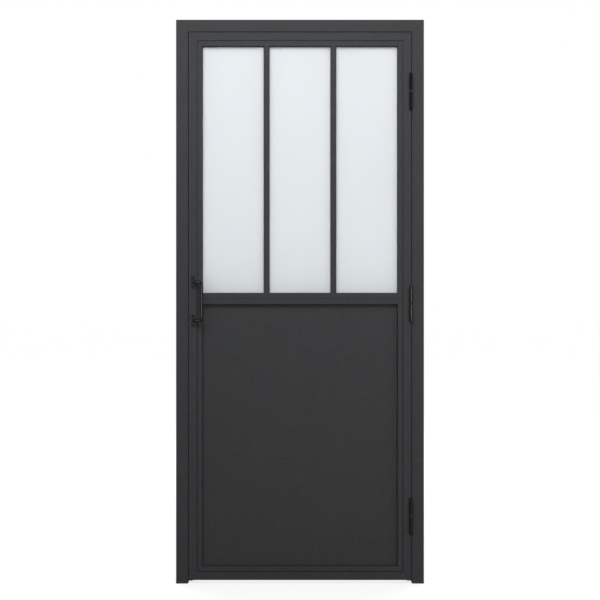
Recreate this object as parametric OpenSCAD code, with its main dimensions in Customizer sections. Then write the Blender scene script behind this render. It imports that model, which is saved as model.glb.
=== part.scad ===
// Interior door of the workshop kind, with its frame: three frosted panes over a plain panel,
// in mitred hollow profiles. The origin is on the floor, centred in the width, on the leaf's mid-plane.
// The front, where the hinge barrels show, faces -Y, and +Z is up. All sizes are in millimetres.

/* [Leaf] */
// Width of the leaf
leaf_w = 830; // [730:10:1030]
// Height of the leaf
leaf_h = 2040; // [1980:10:2240]
// Thickness of the leaf
leaf_t = 40; // [38:1:50]
// Width of the flat front face of the stiles and rails
stile_face = 31; // [30:1:40]
// Wall of the hollow profiles of leaf and frame
wall = 2.5; // [2:0.25:3]
// Radius of the soft front edges of the profiles
edge_r = 1; // [0.5:0.25:1.25]
// Gap between leaf and frame at the sides and the top
joint_gap = 2; // [1.75:0.25:3.5]
// Gap between leaf and floor
floor_gap = 13; // [5:1:25]
// Hairline at the mitres of frame, leaf and beads
mitre_gap = 0.2; // [0.1:0.05:0.5]

/* [Frame] */
// Width of the front face of the frame
frame_face = 44.5; // [40:0.5:70]
// How far the stop stands in from the rebate
stop_w = 15; // [13:1:22]
// Depth of the stop
stop_t = 16; // [14:1:30]
// Gap between the leaf's back and the stop, which the seal fills
stop_gap = 4; // [3:0.5:5]
// Radius of the seal's bulb
seal_bulb_r = 3; // [2.6:0.1:3.4]
// Wall of the seal's bulb
seal_wall = 1.2; // [0.8:0.1:1.4]
// Width of the seal's foot
seal_foot_w = 4; // [3:0.5:4.5]
// Depth of the seal's foot
seal_foot_d = 4; // [3:0.5:5]
// Free play between the seal and the closed leaf
seal_play = 0.3; // [0.2:0.1:0.6]

/* [Glazing] */
// Width of the beads
bead_w = 17.5; // [17:0.5:28]
// Depth of the glass beads
glass_bead_d = 13; // [13:0.5:15]
// Wall of the beads and of the glazing bars
bead_wall = 1.5; // [1:0.25:2]
// Width of the reveal groove between stile and bead
groove_w = 2.5; // [1:0.5:4]
// Depth of the reveal groove beside the glass beads
glass_groove_d = 3; // [2:0.5:5]
// Depth of the reveal groove beside the panel beads
panel_groove_d = 5; // [4:0.5:5]
// Depth of the nib that the beads snap on
nib_d = 1.5; // [1:0.25:1.75]
// How far that nib lies behind the panel's reveal groove
nib_inset = 1; // [0.75:0.25:1.25]
// How far that nib stands out
nib_out = 1; // [0.5:0.25:1.25]
// Thickness of the glass
glass_t = 6; // [6:1:8]
// Thickness of the gaskets
gasket_t = 3; // [2:0.5:4]
// How far the gaskets show past the beads
gasket_lip = 1; // [0.5:0.25:2]
// How far glass and panel reach under the outer beads
edge_cover = 12; // [9:1:14]
// How far the glass reaches under the caps of the glazing bars
bar_cover = 6; // [5:0.5:7]
// Width of the glazing bars
bar_w = 20; // [18:1:30]
// Thickness of the web of glazing bars and mid rail
web_t = 4; // [3:0.5:5]
// Wall of the glazing bar caps
cap_wall = 2; // [1.5:0.25:2.5]
// Length of the ribs in a cap that grip the web
cap_rib_d = 6; // [4:0.5:8]
// Length of a setting block under glass or panel
block_l = 60; // [40:5:80]
// How far the setting blocks stand in from the ends of glass or panel
block_inset = 25; // [15:1:40]

/* [Mid rail and panel] */
// Height of the mid rail's centre line above the floor
mid_rail_z = 1061; // [950:1:1150]
// Height of the mid rail with its two beads
mid_rail_w = 41; // [36:1:60]
// Hairline where two beads meet
hairline = 0.4; // [0.2:0.1:1]
// Thickness of the lower panel
panel_t = 6; // [6:1:10]

/* [Handles] */
// Height of the middle of the handles above the floor
handle_z = 1051; // [1000:1:1100]
// Distance between the legs
handle_span = 142; // [120:1:180]
// Diameter of the round bar
handle_d = 12; // [10:1:14]
// Centre-line radius of the two bends
handle_bend_r = 10; // [8:1:16]
// How far the grip is set off sideways from the feet
handle_offset = 34; // [25:1:45]
// Distance from the leaf to the axis of the grip
handle_reach = 37; // [32:1:45]
// Distance of the front feet from the leaf's edge
handle_inset_front = 18; // [17:0.5:20]
// Distance of the back feet from the leaf's edge, clear of the stop
handle_inset_back = 42; // [41:0.5:43]
// Width of a foot plate
foot_w = 16; // [14:1:17]
// Height of a foot plate
foot_h = 48; // [44:1:54]
// Thickness of a foot plate
foot_t = 4; // [3:0.5:5]
// Length of the foot screws behind the foot plate
foot_grip = 7; // [6:0.5:7.5]
// Distance between the two screws of a foot
foot_screws = 31; // [28:1:34]

/* [Hinges] */
// Distance from the leaf's top to the middle of the top hinge
hinge_top_drop = 221; // [180:1:300]
// Distance from the leaf's bottom to the middle of the bottom hinge
hinge_low_rise = 239; // [180:1:300]
// Diameter of the barrels
hinge_d = 14; // [13:0.5:16]
// Height of one barrel
hinge_barrel_h = 55; // [45:1:65]
// Height of the bush between the barrels
hinge_bush_h = 9; // [5:1:12]
// Height of an end cap
hinge_cap_h = 9; // [6:1:12]
// Radius of the rounded rim of an end cap
hinge_cap_rim_r = 3; // [2:0.25:3.5]
// Depth of a cap's spigot in the barrel
hinge_spigot_h = 6; // [4:1:10]
// Diameter of the pin
hinge_pin_d = 8; // [7:0.5:8.5]
// Distance of the hinge axis from the leaf's edge
hinge_inset = 2.3; // [1.5:0.1:3]
// Gap between the barrels and the front of leaf and frame
hinge_front_gap = 0.5; // [0.3:0.1:1.5]
// How far a flag reaches back from the front of the leaf
flag_depth = 30; // [28:1:32]
// Chamfer at the ends of the barrels
barrel_chamfer = 0.6; // [0.3:0.1:1]
// How much slimmer a barrel is at its ends than in its crowned middle, in radius
barrel_crown = 0.6; // [0.3:0.1:1]
// Distance of a flag's outer two screws from the front of the leaf
flag_screw_deep = 21.5; // [20:0.5:23]
// Distance of a flag's middle screw from the front of the leaf
flag_screw_shallow = 12.5; // [11.5:0.5:14]
// Upright distance from one screw of a flag to the next
flag_screw_step = 16.5; // [14:0.5:17]

/* [Latch] */
// Height of the roller catch above the floor
latch_z = 1051; // [1000:1:1100]
// Width of faceplate and strike plate
plate_w = 22; // [20:1:24]
// Height of the faceplate
faceplate_h = 100; // [94:1:110]
// Height of the strike plate
strike_h = 84; // [76:1:96]
// Distance between the two screws of the faceplate
latch_screws_h = 70; // [66:1:74]
// Diameter of the roller
roller_d = 10; // [9:0.5:10]
// Height of the roller
roller_h = 15; // [12:0.5:16]
// How far the roller stands out of the leaf's edge
roller_out = 6.5; // [5.5:0.25:6.5]
// Chamfer at the ends of the roller
roller_chamfer = 0.8; // [0.4:0.1:1.2]
// Diameter of the roller's pin
roller_pin_d = 4; // [3:0.5:4.5]
// How far the fork's prongs reach past that pin
fork_lip = 0.75; // [0.5:0.05:1]
// Width of the sprung bolt
bolt_w = 10.4; // [10:0.1:11]
// Height of the part of the bolt that passes the faceplate
bolt_h = 22; // [21:0.5:23]
// How far the shoulder that keeps the bolt in stands out above and below
bolt_shoulder = 2; // [1.5:0.25:2.5]
// How far the bolt reaches into the leaf, without its shank
bolt_depth = 12; // [10.5:0.5:13]
// Diameter of the bolt's shank
shank_d = 6; // [5:0.5:6]
// Length of the bolt's shank
shank_l = 6; // [4:0.5:7]
// Wire of the latch spring
spring_wire = 0.9; // [0.7:0.1:1]
// Turns of the latch spring
spring_turns = 5; // [4:1:7]
// Wall of the latch case
case_wall = 2.5; // [2:0.25:3]
// Free space between the latch case and the stile's inner wall
case_play = 1; // [0.5:0.25:2]

/* [Fixings] */
// Diameter of the holes for the wall fixings
fix_hole_d = 10; // [8:0.5:12]
// Height of a jamb's lowest wall fixing above the floor
fix_low_z = 120; // [100:1:150]
// Distance of a jamb's highest wall fixing from the top of the frame
fix_top_drop = 149.5; // [120:0.5:180]
// Distance between the inner wall fixings of a jamb
fix_inner = 780; // [700:1:860]
// Diameter of the screws
screw_d = 5; // [4:0.5:5]
// Diameter of the countersunk and button heads
screw_head_d = 9.2; // [8.6:0.1:9.6]
// Height of a button head
button_h = 2.75; // [2.5:0.05:3]
// Radius of the dome of a button head
button_dome_r = 7.4; // [6.6:0.1:9]
// Size of the hexagon sockets, over the corners
socket_d = 3; // [2.5:0.25:3.5]
// Depth of the hexagon sockets
socket_depth = 1.7; // [1.2:0.1:1.8]
// Length of the screws behind the plate that they hold
screw_grip = 9; // [7.5:0.5:9.5]
// Thickness of the tapped backing plates
backing_t = 4; // [3:0.5:5]
// How far a backing plate reaches past the plate that it carries
backing_margin = 6; // [4:0.5:7]
// How far the corner cleats reach along each profile
cleat_reach = 88; // [70:1:100]
// Wall of the corner cleats
cleat_wall = 5; // [4:0.5:6]
// Slack of the corner cleats in the profiles
cleat_slack = 0.1; // [0.05:0.05:0.3]
// Slack of pieces that are let in flush
inlay_slack = 0.2; // [0.1:0.05:0.4]
// Radial clearance of pins and screws in their holes
pin_clear = 0.05; // [0.02:0.01:0.08]
// Clearance of the bolt in its case
slide_clear = 0.3; // [0.2:0.05:0.4]

/* [Hidden] */
$fn = 48;
// Sides of the wide circle that crowns the hinge barrels
crown_sides = 960;
// Degrees in one turn
full_turn = 360;
// Past an outer face, so that a cut leaves no skin
over = 1;
// Depth of the front, the back and the seat of the glazing
front_y = -leaf_t / 2;
back_y = leaf_t / 2;
seat_y = front_y + glass_bead_d + 2 * gasket_t + glass_t;
glass_y = seat_y - gasket_t - glass_t;
panel_y = seat_y - gasket_t - panel_t;
panel_bead_d = panel_y - gasket_t - front_y;
stop_y = back_y + stop_gap;
frame_depth = leaf_t + stop_gap + stop_t;
seal_u = frame_face + stop_w / 2;
// Outer sizes
total_w = leaf_w + 2 * (joint_gap + frame_face);
total_h = floor_gap + leaf_h + joint_gap + frame_face;
leaf_top_z = floor_gap + leaf_h;
// How much shorter a mitred end is, along its piece, for its share of the hairline
mitre_cut = mitre_gap / sqrt(2);
// Sight lines: the edges of the visible glass and panel
sight = stile_face + groove_w + bead_w;
sight_x = leaf_w / 2 - sight;
glass_low_z = mid_rail_z + mid_rail_w / 2;
glass_top_z = leaf_top_z - sight;
panel_low_z = floor_gap + sight;
panel_top_z = mid_rail_z - mid_rail_w / 2;
pane_w = (2 * sight_x - 2 * bar_w) / 3;
pane_pitch = pane_w + bar_w;
bar_x = pane_pitch / 2;
nib_y = front_y + panel_groove_d + nib_inset;
// Web of the mid rail, under the laps of the two beads
lap_d = glass_groove_d;
web_front_y = front_y + lap_d + hairline / 2;
// Hinges
hinge_r = hinge_d / 2;
hinge_x = leaf_w / 2 - hinge_inset;
hinge_y = front_y - hinge_front_gap - hinge_r;
hinge_top_z = leaf_top_z - hinge_top_drop;
hinge_low_z = floor_gap + hinge_low_rise;
hinge_heights = [hinge_top_z, (hinge_top_z + hinge_low_z) / 2, hinge_low_z];
pin_r = hinge_pin_d / 2;
barrel_end_r = hinge_r - barrel_crown;
crown_r = (hinge_barrel_h * hinge_barrel_h / 4 + barrel_crown * barrel_crown) / (2 * barrel_crown);
flag_back_y = front_y + flag_depth;
// Upright range of the leaf's barrel; the frame's barrel mirrors it
barrel_low = hinge_bush_h / 2;
barrel_high = barrel_low + hinge_barrel_h;
// The flag of the leaf half lies flush in the leaf's edge, that of the frame half in the rebate
leaf_flag_x = leaf_w / 2;
frame_flag_x = leaf_w / 2 + joint_gap;
// Screws of a flag: two deep and one shallow, as [depth from the front, height in the flag]
flag_screws = [
    [flag_screw_deep, hinge_barrel_h / 2 - flag_screw_step],
    [flag_screw_shallow, hinge_barrel_h / 2],
    [flag_screw_deep, hinge_barrel_h / 2 + flag_screw_step]
];
// Length and turn of the handles' slanted legs
handle_leg = norm([handle_offset, handle_reach]);
handle_turn = atan2(handle_reach, handle_offset);
// Latch, measured from the edge of the leaf inwards
edge_x = -leaf_w / 2;
roller_a = roller_d / 2 - roller_out;
fork_a = roller_a - roller_pin_d / 2 - fork_lip;
case_back_a = stile_face - wall - case_play;
cavity_back_a = case_back_a - case_wall;
cavity_h = bolt_h + 2 * bolt_shoulder + 2 * slide_clear;
cavity_w = bolt_w + 2 * slide_clear;
case_h = cavity_h + 2 * case_wall;
case_w = cavity_w + 2 * case_wall;
latch_screw_z = latch_screws_h / 2;
strike_window_h = bolt_h + 4 * slide_clear;
// Strike screws stand halfway between the window and the end of the plate
strike_screw_z = (strike_window_h / 2 + strike_h / 2) / 2;
// Wall fixings of a jamb: an outer and an inner pair round the same middle
fix_outer = total_h - fix_top_drop - fix_low_z;
fix_mid_z = fix_low_z + fix_outer / 2;
// Screws
screw_r = screw_d / 2;
head_r = screw_head_d / 2;

coat = [0.22, 0.225, 0.235];
steel = [0.62, 0.63, 0.65];
black = [0.07, 0.07, 0.075];

// Shared helpers

// Swaps X and Z, so that a bar drawn upright lies along X.
module lying() {
    mirror([1, 0, -1]) children();
}

// Turns a drawing in the XY plane so that its Y runs up and its extrusion runs from y0 to y1.
module upright_slab(y0, y1) {
    translate([0, y1, 0]) rotate([90, 0, 0]) linear_extrude(y1 - y0) children();
}

// Rectangle given by two opposite corners.
module span2d(low, high) {
    translate(low) square(high - low);
}

// Box given by two opposite corners.
module span3d(low, high) {
    translate(low) cube(high - low);
}

// Takes the sharp corner at [x, y] off a profile; turn is [1 or -1, 1 or -1], pointing into the metal.
module corner_cut(corner, turn, r) {
    translate(corner) facing(turn)
        difference() {
            translate([-over, -over]) square(r + over);
            translate([r, r]) circle(r);
        }
}

module facing(turn) {
    mirror([turn[0] < 0 ? 1 : 0, 0]) mirror([0, turn[1] < 0 ? 1 : 0]) children();
}

// Bar along Z with its outer edge on X = 0, mitred at its high end, and at its low end if so asked.
module mitred(length, depth, low = true) {
    low_z = low ? mitre_cut : 0;
    high_z = length - mitre_cut;
    intersection() {
        linear_extrude(length) children();
        upright_slab(-total_h, total_h)
            polygon([[0, low_z], [depth, low ? low_z + depth : 0], [depth, high_z - depth], [0, high_z]]);
    }
}

// Places what is drawn at the lower left corner of the leaf at each chosen corner.
module at_leaf_corner(right, top) {
    translate([right ? leaf_w / 2 : -leaf_w / 2, 0, top ? leaf_top_z : floor_gap])
        mirror([right ? 1 : 0, 0, 0]) mirror([0, 0, top ? 1 : 0]) children();
}

// Countersunk screw whose head is flush with Z = 0 and whose shank runs down.
module countersunk_screw(length) {
    head_h = head_r - screw_r;
    difference() {
        rotate_extrude()
            polygon([[0, 0], [head_r, 0], [screw_r, -head_h], [screw_r, -length], [0, -length]]);
        hex_socket(0);
    }
}

// Hexagon socket in the top of a screw head, at height top.
module hex_socket(top) {
    translate([0, 0, top - socket_depth]) cylinder(d = socket_d, h = socket_depth + over, $fn = 6);
}

// Hole for that screw.
module countersunk_hole(length) {
    head_h = head_r - screw_r;
    rotate_extrude()
        polygon([
            [0, over], [head_r + pin_clear + over, over], [screw_r + pin_clear, -head_h],
            [screw_r + pin_clear, -length - over], [0, -length - over]
        ]);
}

// Button-head screw whose head stands on Z = 0 and whose shank runs down.
module button_screw(length) {
    difference() {
        union() {
            intersection() {
                cylinder(r = head_r, h = button_h);
                translate([0, 0, button_h - button_dome_r]) sphere(r = button_dome_r);
            }
            translate([0, 0, -length]) cylinder(r = screw_r, h = length);
        }
        hex_socket(button_h);
    }
}

// L-shaped connector in the hollow of a mitred corner, extruded through the depth.
module corner_cleat(hollow_w, y0, y1) {
    low = wall + cleat_slack;
    w = hollow_w - 2 * cleat_slack;
    upright_slab(y0 + cleat_slack, y1 - cleat_slack)
        difference() {
            union() {
                translate([low, low]) square([w, cleat_reach]);
                translate([low, low]) square([cleat_reach, w]);
            }
            translate([low + cleat_wall, low + cleat_wall]) square(w - 2 * cleat_wall);
            translate([low + cleat_wall, low + w]) square([w - 2 * cleat_wall, cleat_reach - w - cleat_wall]);
            translate([low + w, low + cleat_wall]) square([cleat_reach - w - cleat_wall, w - 2 * cleat_wall]);
        }
}

// Frame

// Section of the frame: a hollow face with a stop behind the leaf, and a groove for the seal.
module frame_profile() {
    stop_end = frame_face + stop_w;
    frame_back = front_y + frame_depth;
    groove_housing = seal_foot_w / 2 + wall;
    difference() {
        union() {
            difference() {
                union() {
                    span2d([0, front_y], [frame_face, frame_back]);
                    span2d([0, stop_y], [stop_end, frame_back]);
                }
                span2d([wall, front_y + wall], [frame_face - wall, frame_back - wall]);
                span2d([frame_face - 2 * wall, stop_y + wall], [stop_end - wall, frame_back - wall]);
            }
            span2d([seal_u - groove_housing, stop_y], [seal_u + groove_housing, stop_y + seal_foot_d + wall]);
        }
        span2d([seal_u - seal_foot_w / 2, stop_y - over], [seal_u + seal_foot_w / 2, stop_y + seal_foot_d]);
        corner_cut([0, front_y], [1, 1], edge_r);
        corner_cut([frame_face, front_y], [-1, 1], edge_r);
        corner_cut([0, frame_back], [1, -1], edge_r);
        corner_cut([stop_end, frame_back], [-1, -1], edge_r);
        corner_cut([stop_end, stop_y], [-1, 1], edge_r);
    }
}

// Section of the bulb seal with its foot in the groove of the stop.
module seal_profile() {
    bulb_y = back_y + seal_play + seal_bulb_r;
    difference() {
        union() {
            intersection() {
                translate([seal_u, bulb_y]) circle(seal_bulb_r);
                span2d([seal_u - seal_bulb_r, back_y], [seal_u + seal_bulb_r, stop_y]);
            }
            span2d([seal_u - seal_foot_w / 2, stop_y], [seal_u + seal_foot_w / 2, stop_y + seal_foot_d]);
        }
        translate([seal_u, bulb_y]) circle(seal_bulb_r - seal_wall);
    }
}

module upright_of_frame() {
    translate([-total_w / 2, 0, 0]) mitred(total_h, frame_face + stop_w, low = false) children();
}

module head_of_frame() {
    translate([-total_w / 2, 0, total_h]) mirror([0, 0, 1]) lying()
        mitred(total_w, frame_face + stop_w) children();
}

module wall_fixing_holes() {
    for (z = [-fix_outer, -fix_inner, fix_inner, fix_outer])
        translate([-total_w / 2 - over, 0, fix_mid_z + z / 2]) rotate([0, 90, 0])
            cylinder(d = fix_hole_d, h = frame_face + 2 * over);
}

module frame_jamb_latch() {
    color(coat) difference() {
        upright_of_frame() frame_profile();
        wall_fixing_holes();
        at_strike() span3d(
            [-wall, -plate_w / 2 - inlay_slack, -strike_h / 2 - inlay_slack],
            [over, plate_w / 2 + inlay_slack, strike_h / 2 + inlay_slack]
        );
    }
}

module frame_jamb_hinge() {
    color(coat) difference() {
        mirror([1, 0, 0]) {
            upright_of_frame() frame_profile();
        }
        mirror([1, 0, 0]) wall_fixing_holes();
        for (z = hinge_heights) translate([0, 0, z]) frame_flag_pocket();
    }
}

module frame_head() {
    color(coat) head_of_frame() frame_profile();
}

module frame_corner_cleats() {
    color(steel) for (side = [0, 1]) mirror([side, 0, 0])
        translate([-total_w / 2, 0, total_h]) mirror([0, 0, 1])
            corner_cleat(frame_face - 2 * wall, front_y + wall, stop_y);
}

module frame_seal_latch() {
    color(black) upright_of_frame() seal_profile();
}

module frame_seal_hinge() {
    color(black) mirror([1, 0, 0]) upright_of_frame() seal_profile();
}

module frame_seal_head() {
    color(black) head_of_frame() seal_profile();
}

// Tapped plates in the hinge jamb behind the flags, and in the latch jamb behind the strike plate.
module frame_backing_plates() {
    color(steel) {
        for (z = hinge_heights) translate([0, 0, z]) frame_flag_backing();
        at_strike() difference() {
            span3d(
                [-wall - backing_t, -plate_w / 2 - backing_margin, -strike_h / 2 - backing_margin],
                [-wall, plate_w / 2 + backing_margin, strike_h / 2 + backing_margin]
            );
            strike_window();
            for (z = [-strike_screw_z, strike_screw_z])
                translate([0, 0, z]) rotate([0, 90, 0]) countersunk_hole(screw_grip + wall);
        }
    }
}

// Strike plate

// Puts the drawing on the rebate face of the latch jamb, with -X going into the jamb.
module at_strike() {
    translate([edge_x - joint_gap, 0, latch_z]) children();
}

module strike_window() {
    half_w = bolt_w / 2 + slide_clear;
    span3d(
        [-wall - backing_t - over, -half_w, -strike_window_h / 2],
        [over, half_w, strike_window_h / 2]
    );
}

module strike_plate() {
    color(steel) at_strike() difference() {
        span3d([-wall, -plate_w / 2, -strike_h / 2], [0, plate_w / 2, strike_h / 2]);
        strike_window();
        for (z = [-strike_screw_z, strike_screw_z])
            translate([0, 0, z]) rotate([0, 90, 0]) countersunk_hole(screw_grip);
    }
}

module strike_screws() {
    color(steel) at_strike() for (z = [-strike_screw_z, strike_screw_z])
        translate([0, 0, z]) rotate([0, 90, 0]) countersunk_screw(screw_grip);
}

// Hinges, each drawn round its own middle height

// Slightly crowned barrel with chamfered ends, standing at height z0.
module barrel(z0) {
    flat_r = barrel_end_r - barrel_chamfer;
    rise = hinge_r + over - flat_r;
    translate([hinge_x, hinge_y, z0]) rotate_extrude() intersection() {
        polygon([
            [0, 0], [flat_r, 0], [hinge_r + over, rise], [hinge_r + over, hinge_barrel_h - rise],
            [flat_r, hinge_barrel_h], [0, hinge_barrel_h]
        ]);
        translate([hinge_r - crown_r, hinge_barrel_h / 2]) circle(crown_r, $fn = crown_sides);
    }
}

module pin_bore() {
    translate([hinge_x, hinge_y, -barrel_high - over])
        cylinder(r = pin_r + pin_clear, h = 2 * (barrel_high + over));
}

// Places a drawing along Z at each screw of a flag, pointing out of the face at x, towards side.
module at_flag_screws(x, z0, side) {
    for (s = flag_screws)
        translate([x, front_y + s[0], z0 + s[1]]) rotate([0, 90 * side, 0]) children();
}

module hinge_leaf_half() {
    color(black) difference() {
        union() {
            barrel(barrel_low);
            span3d([leaf_flag_x - wall, hinge_y, barrel_low], [leaf_flag_x, flag_back_y, barrel_high]);
        }
        pin_bore();
        at_flag_screws(leaf_flag_x, barrel_low, 1) countersunk_hole(screw_grip);
    }
}

module hinge_frame_half() {
    color(black) difference() {
        union() {
            barrel(-barrel_high);
            span3d([frame_flag_x, hinge_y, -barrel_high], [frame_flag_x + wall, flag_back_y, -barrel_low]);
        }
        pin_bore();
        at_flag_screws(frame_flag_x, -barrel_high, -1) countersunk_hole(screw_grip);
    }
}

// Pockets through the profile walls, open to the front, in which the flags lie flush.
module leaf_flag_pocket() {
    span3d(
        [leaf_flag_x - wall, front_y - over, barrel_low - inlay_slack],
        [leaf_flag_x + over, flag_back_y + inlay_slack, barrel_high + inlay_slack]
    );
}

module frame_flag_pocket() {
    span3d(
        [frame_flag_x - over, front_y - over, -barrel_high - inlay_slack],
        [frame_flag_x + wall, flag_back_y + inlay_slack, -barrel_low + inlay_slack]
    );
}

// Backing plates inside the profiles, drawn with the flag's own outline and a margin.
module flag_backing(x0, z0) {
    span3d(
        [x0, front_y + wall + inlay_slack, z0 - backing_margin],
        [x0 + backing_t, flag_back_y + backing_margin, z0 + hinge_barrel_h + backing_margin]
    );
}

module leaf_flag_backing() {
    difference() {
        flag_backing(leaf_flag_x - wall - backing_t, barrel_low);
        at_flag_screws(leaf_flag_x, barrel_low, 1) countersunk_hole(screw_grip + wall);
    }
}

module frame_flag_backing() {
    difference() {
        flag_backing(frame_flag_x + wall, -barrel_high);
        at_flag_screws(frame_flag_x, -barrel_high, -1) countersunk_hole(screw_grip + wall);
    }
}

// End cap with a rounded rim and a spigot in the barrel's bore, standing on Z = 0.
module hinge_cap() {
    rim_r = hinge_cap_rim_r;
    rotate_extrude() {
        span2d([0, 0], [barrel_end_r, hinge_cap_h - rim_r]);
        span2d([0, 0], [barrel_end_r - rim_r, hinge_cap_h]);
        translate([barrel_end_r - rim_r, hinge_cap_h - rim_r]) circle(rim_r);
        span2d([0, -hinge_spigot_h], [pin_r, over]);
    }
}

module hinge_leaf_half_top() {
    translate([0, 0, hinge_heights[0]]) hinge_leaf_half();
}

module hinge_leaf_half_middle() {
    translate([0, 0, hinge_heights[1]]) hinge_leaf_half();
}

module hinge_leaf_half_bottom() {
    translate([0, 0, hinge_heights[2]]) hinge_leaf_half();
}

module hinge_frame_half_top() {
    translate([0, 0, hinge_heights[0]]) hinge_frame_half();
}

module hinge_frame_half_middle() {
    translate([0, 0, hinge_heights[1]]) hinge_frame_half();
}

module hinge_frame_half_bottom() {
    translate([0, 0, hinge_heights[2]]) hinge_frame_half();
}

// The pins stand on the spigots of the lower caps and end short of those of the upper ones.
module hinge_pins() {
    low = -barrel_high + hinge_spigot_h;
    color(steel) for (z = hinge_heights)
        translate([hinge_x, hinge_y, z + low])
            cylinder(r = pin_r, h = 2 * (barrel_high - hinge_spigot_h) - 2 * slide_clear);
}

module hinge_bushes() {
    color(black) for (z = hinge_heights) translate([hinge_x, hinge_y, z - barrel_low])
        difference() {
            cylinder(r = barrel_end_r - barrel_chamfer, h = hinge_bush_h);
            translate([0, 0, -over]) cylinder(r = pin_r + pin_clear, h = hinge_bush_h + 2 * over);
        }
}

module hinge_leaf_caps() {
    color(black) for (z = hinge_heights)
        translate([hinge_x, hinge_y, z + barrel_high]) hinge_cap();
}

module hinge_frame_caps() {
    color(black) for (z = hinge_heights)
        translate([hinge_x, hinge_y, z - barrel_high]) mirror([0, 0, 1]) hinge_cap();
}

module hinge_leaf_screws() {
    color(steel) for (z = hinge_heights) translate([0, 0, z])
        at_flag_screws(leaf_flag_x, barrel_low, 1) countersunk_screw(screw_grip);
}

module hinge_frame_screws() {
    color(steel) for (z = hinge_heights) translate([0, 0, z])
        at_flag_screws(frame_flag_x, -barrel_high, -1) countersunk_screw(screw_grip);
}

// Leaf

// Section of stiles and rails: an outer chamber, a glazing leg behind, and a nib for the beads.
module leaf_profile() {
    difference() {
        union() {
            span2d([0, front_y], [stile_face, back_y]);
            span2d([stile_face - wall, seat_y], [sight, back_y]);
            span2d([stile_face - wall, nib_y], [stile_face + nib_out, nib_y + nib_d]);
        }
        span2d([wall, front_y + wall], [stile_face - wall, back_y - wall]);
        span2d([stile_face, seat_y + wall], [sight - wall, back_y - wall]);
        corner_cut([0, front_y], [1, 1], edge_r);
        corner_cut([stile_face, front_y], [-1, 1], edge_r);
        corner_cut([0, back_y], [1, -1], edge_r);
        corner_cut([sight, back_y], [-1, -1], edge_r);
    }
}

module stile_blank() {
    at_leaf_corner(false, false) mitred(leaf_h, sight) leaf_profile();
}

module leaf_stile_latch() {
    color(coat) difference() {
        stile_blank();
        translate([edge_x, 0, latch_z]) span3d(
            [-over, -plate_w / 2 - inlay_slack, -faceplate_h / 2 - inlay_slack],
            [wall, plate_w / 2 + inlay_slack, faceplate_h / 2 + inlay_slack]
        );
        handle_screw_places() translate([0, 0, -foot_t - foot_grip])
            cylinder(r = screw_r + pin_clear, h = foot_grip + over);
    }
}

module leaf_stile_hinge() {
    color(coat) difference() {
        mirror([1, 0, 0]) {
            stile_blank();
        }
        for (z = hinge_heights) translate([0, 0, z]) leaf_flag_pocket();
    }
}

module leaf_rail_bottom() {
    color(coat) at_leaf_corner(false, false) lying() mitred(leaf_w, sight) leaf_profile();
}

module leaf_rail_top() {
    color(coat) at_leaf_corner(false, true) lying() mitred(leaf_w, sight) leaf_profile();
}

// Tee of a hollow back box and a web, drawn across its own centre line.
module tee_profile(width, web_y) {
    difference() {
        union() {
            span2d([-width / 2, seat_y], [width / 2, back_y]);
            span2d([-web_t / 2, web_y], [web_t / 2, seat_y + over]);
        }
        span2d([-width / 2 + wall, seat_y + wall], [width / 2 - wall, back_y - wall]);
        corner_cut([-width / 2, back_y], [1, -1], edge_r);
        corner_cut([width / 2, back_y], [-1, -1], edge_r);
    }
}

module leaf_rail_mid() {
    color(coat) translate([-sight_x, 0, mid_rail_z]) lying()
        linear_extrude(2 * sight_x) tee_profile(mid_rail_w, web_front_y);
}

module leaf_corner_cleats() {
    color(steel) for (right = [false, true]) for (top = [false, true])
        at_leaf_corner(right, top) corner_cleat(stile_face - 2 * wall, front_y + wall, back_y - wall);
}

// Tapped plates in the hinge stile behind the flags, and in the latch stile behind the faceplate.
module leaf_backing_plates() {
    color(steel) {
        for (z = hinge_heights) translate([0, 0, z]) leaf_flag_backing();
        at_latch() difference() {
            span3d(
                [wall, -plate_w / 2 - backing_margin / 2, -faceplate_h / 2 - backing_margin],
                [wall + backing_t, plate_w / 2 + backing_margin / 2, faceplate_h / 2 + backing_margin]
            );
            span3d(
                [wall - over, -case_w / 2 - inlay_slack, -case_h / 2 - inlay_slack],
                [wall + backing_t + over, case_w / 2 + inlay_slack, case_h / 2 + inlay_slack]
            );
            for (z = [-latch_screw_z, latch_screw_z])
                translate([0, 0, z]) rotate([0, -90, 0]) countersunk_hole(screw_grip + wall);
        }
    }
}

// Glazing

module glazing_bar(x) {
    color(coat) translate([x, 0, glass_low_z])
        linear_extrude(glass_top_z - glass_low_z) tee_profile(bar_w, front_y + cap_wall);
}

// Cap over the front of a glazing bar: a channel with two ribs that grip the web.
module glazing_cap(x) {
    half = bar_w / 2;
    cap_back_y = front_y + glass_bead_d;
    rib_end_y = front_y + cap_wall + cap_rib_d;
    color(coat) translate([x, 0, glass_low_z]) linear_extrude(glass_top_z - glass_low_z)
        difference() {
            union() {
                difference() {
                    span2d([-half, front_y], [half, cap_back_y]);
                    span2d([-half + cap_wall, front_y + cap_wall], [half - cap_wall, cap_back_y + over]);
                }
                for (s = [-1, 1]) translate([s * (web_t + bead_wall) / 2, front_y + cap_wall / 2])
                    span2d([-bead_wall / 2, 0], [bead_wall / 2, rib_end_y - front_y - cap_wall / 2]);
            }
            corner_cut([-half, front_y], [1, 1], edge_r);
            corner_cut([half, front_y], [-1, 1], edge_r);
        }
}

module glazing_bar_left() {
    glazing_bar(-bar_x);
}

module glazing_bar_right() {
    glazing_bar(bar_x);
}

module glazing_cap_left() {
    glazing_cap(-bar_x);
}

module glazing_cap_right() {
    glazing_cap(bar_x);
}

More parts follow.
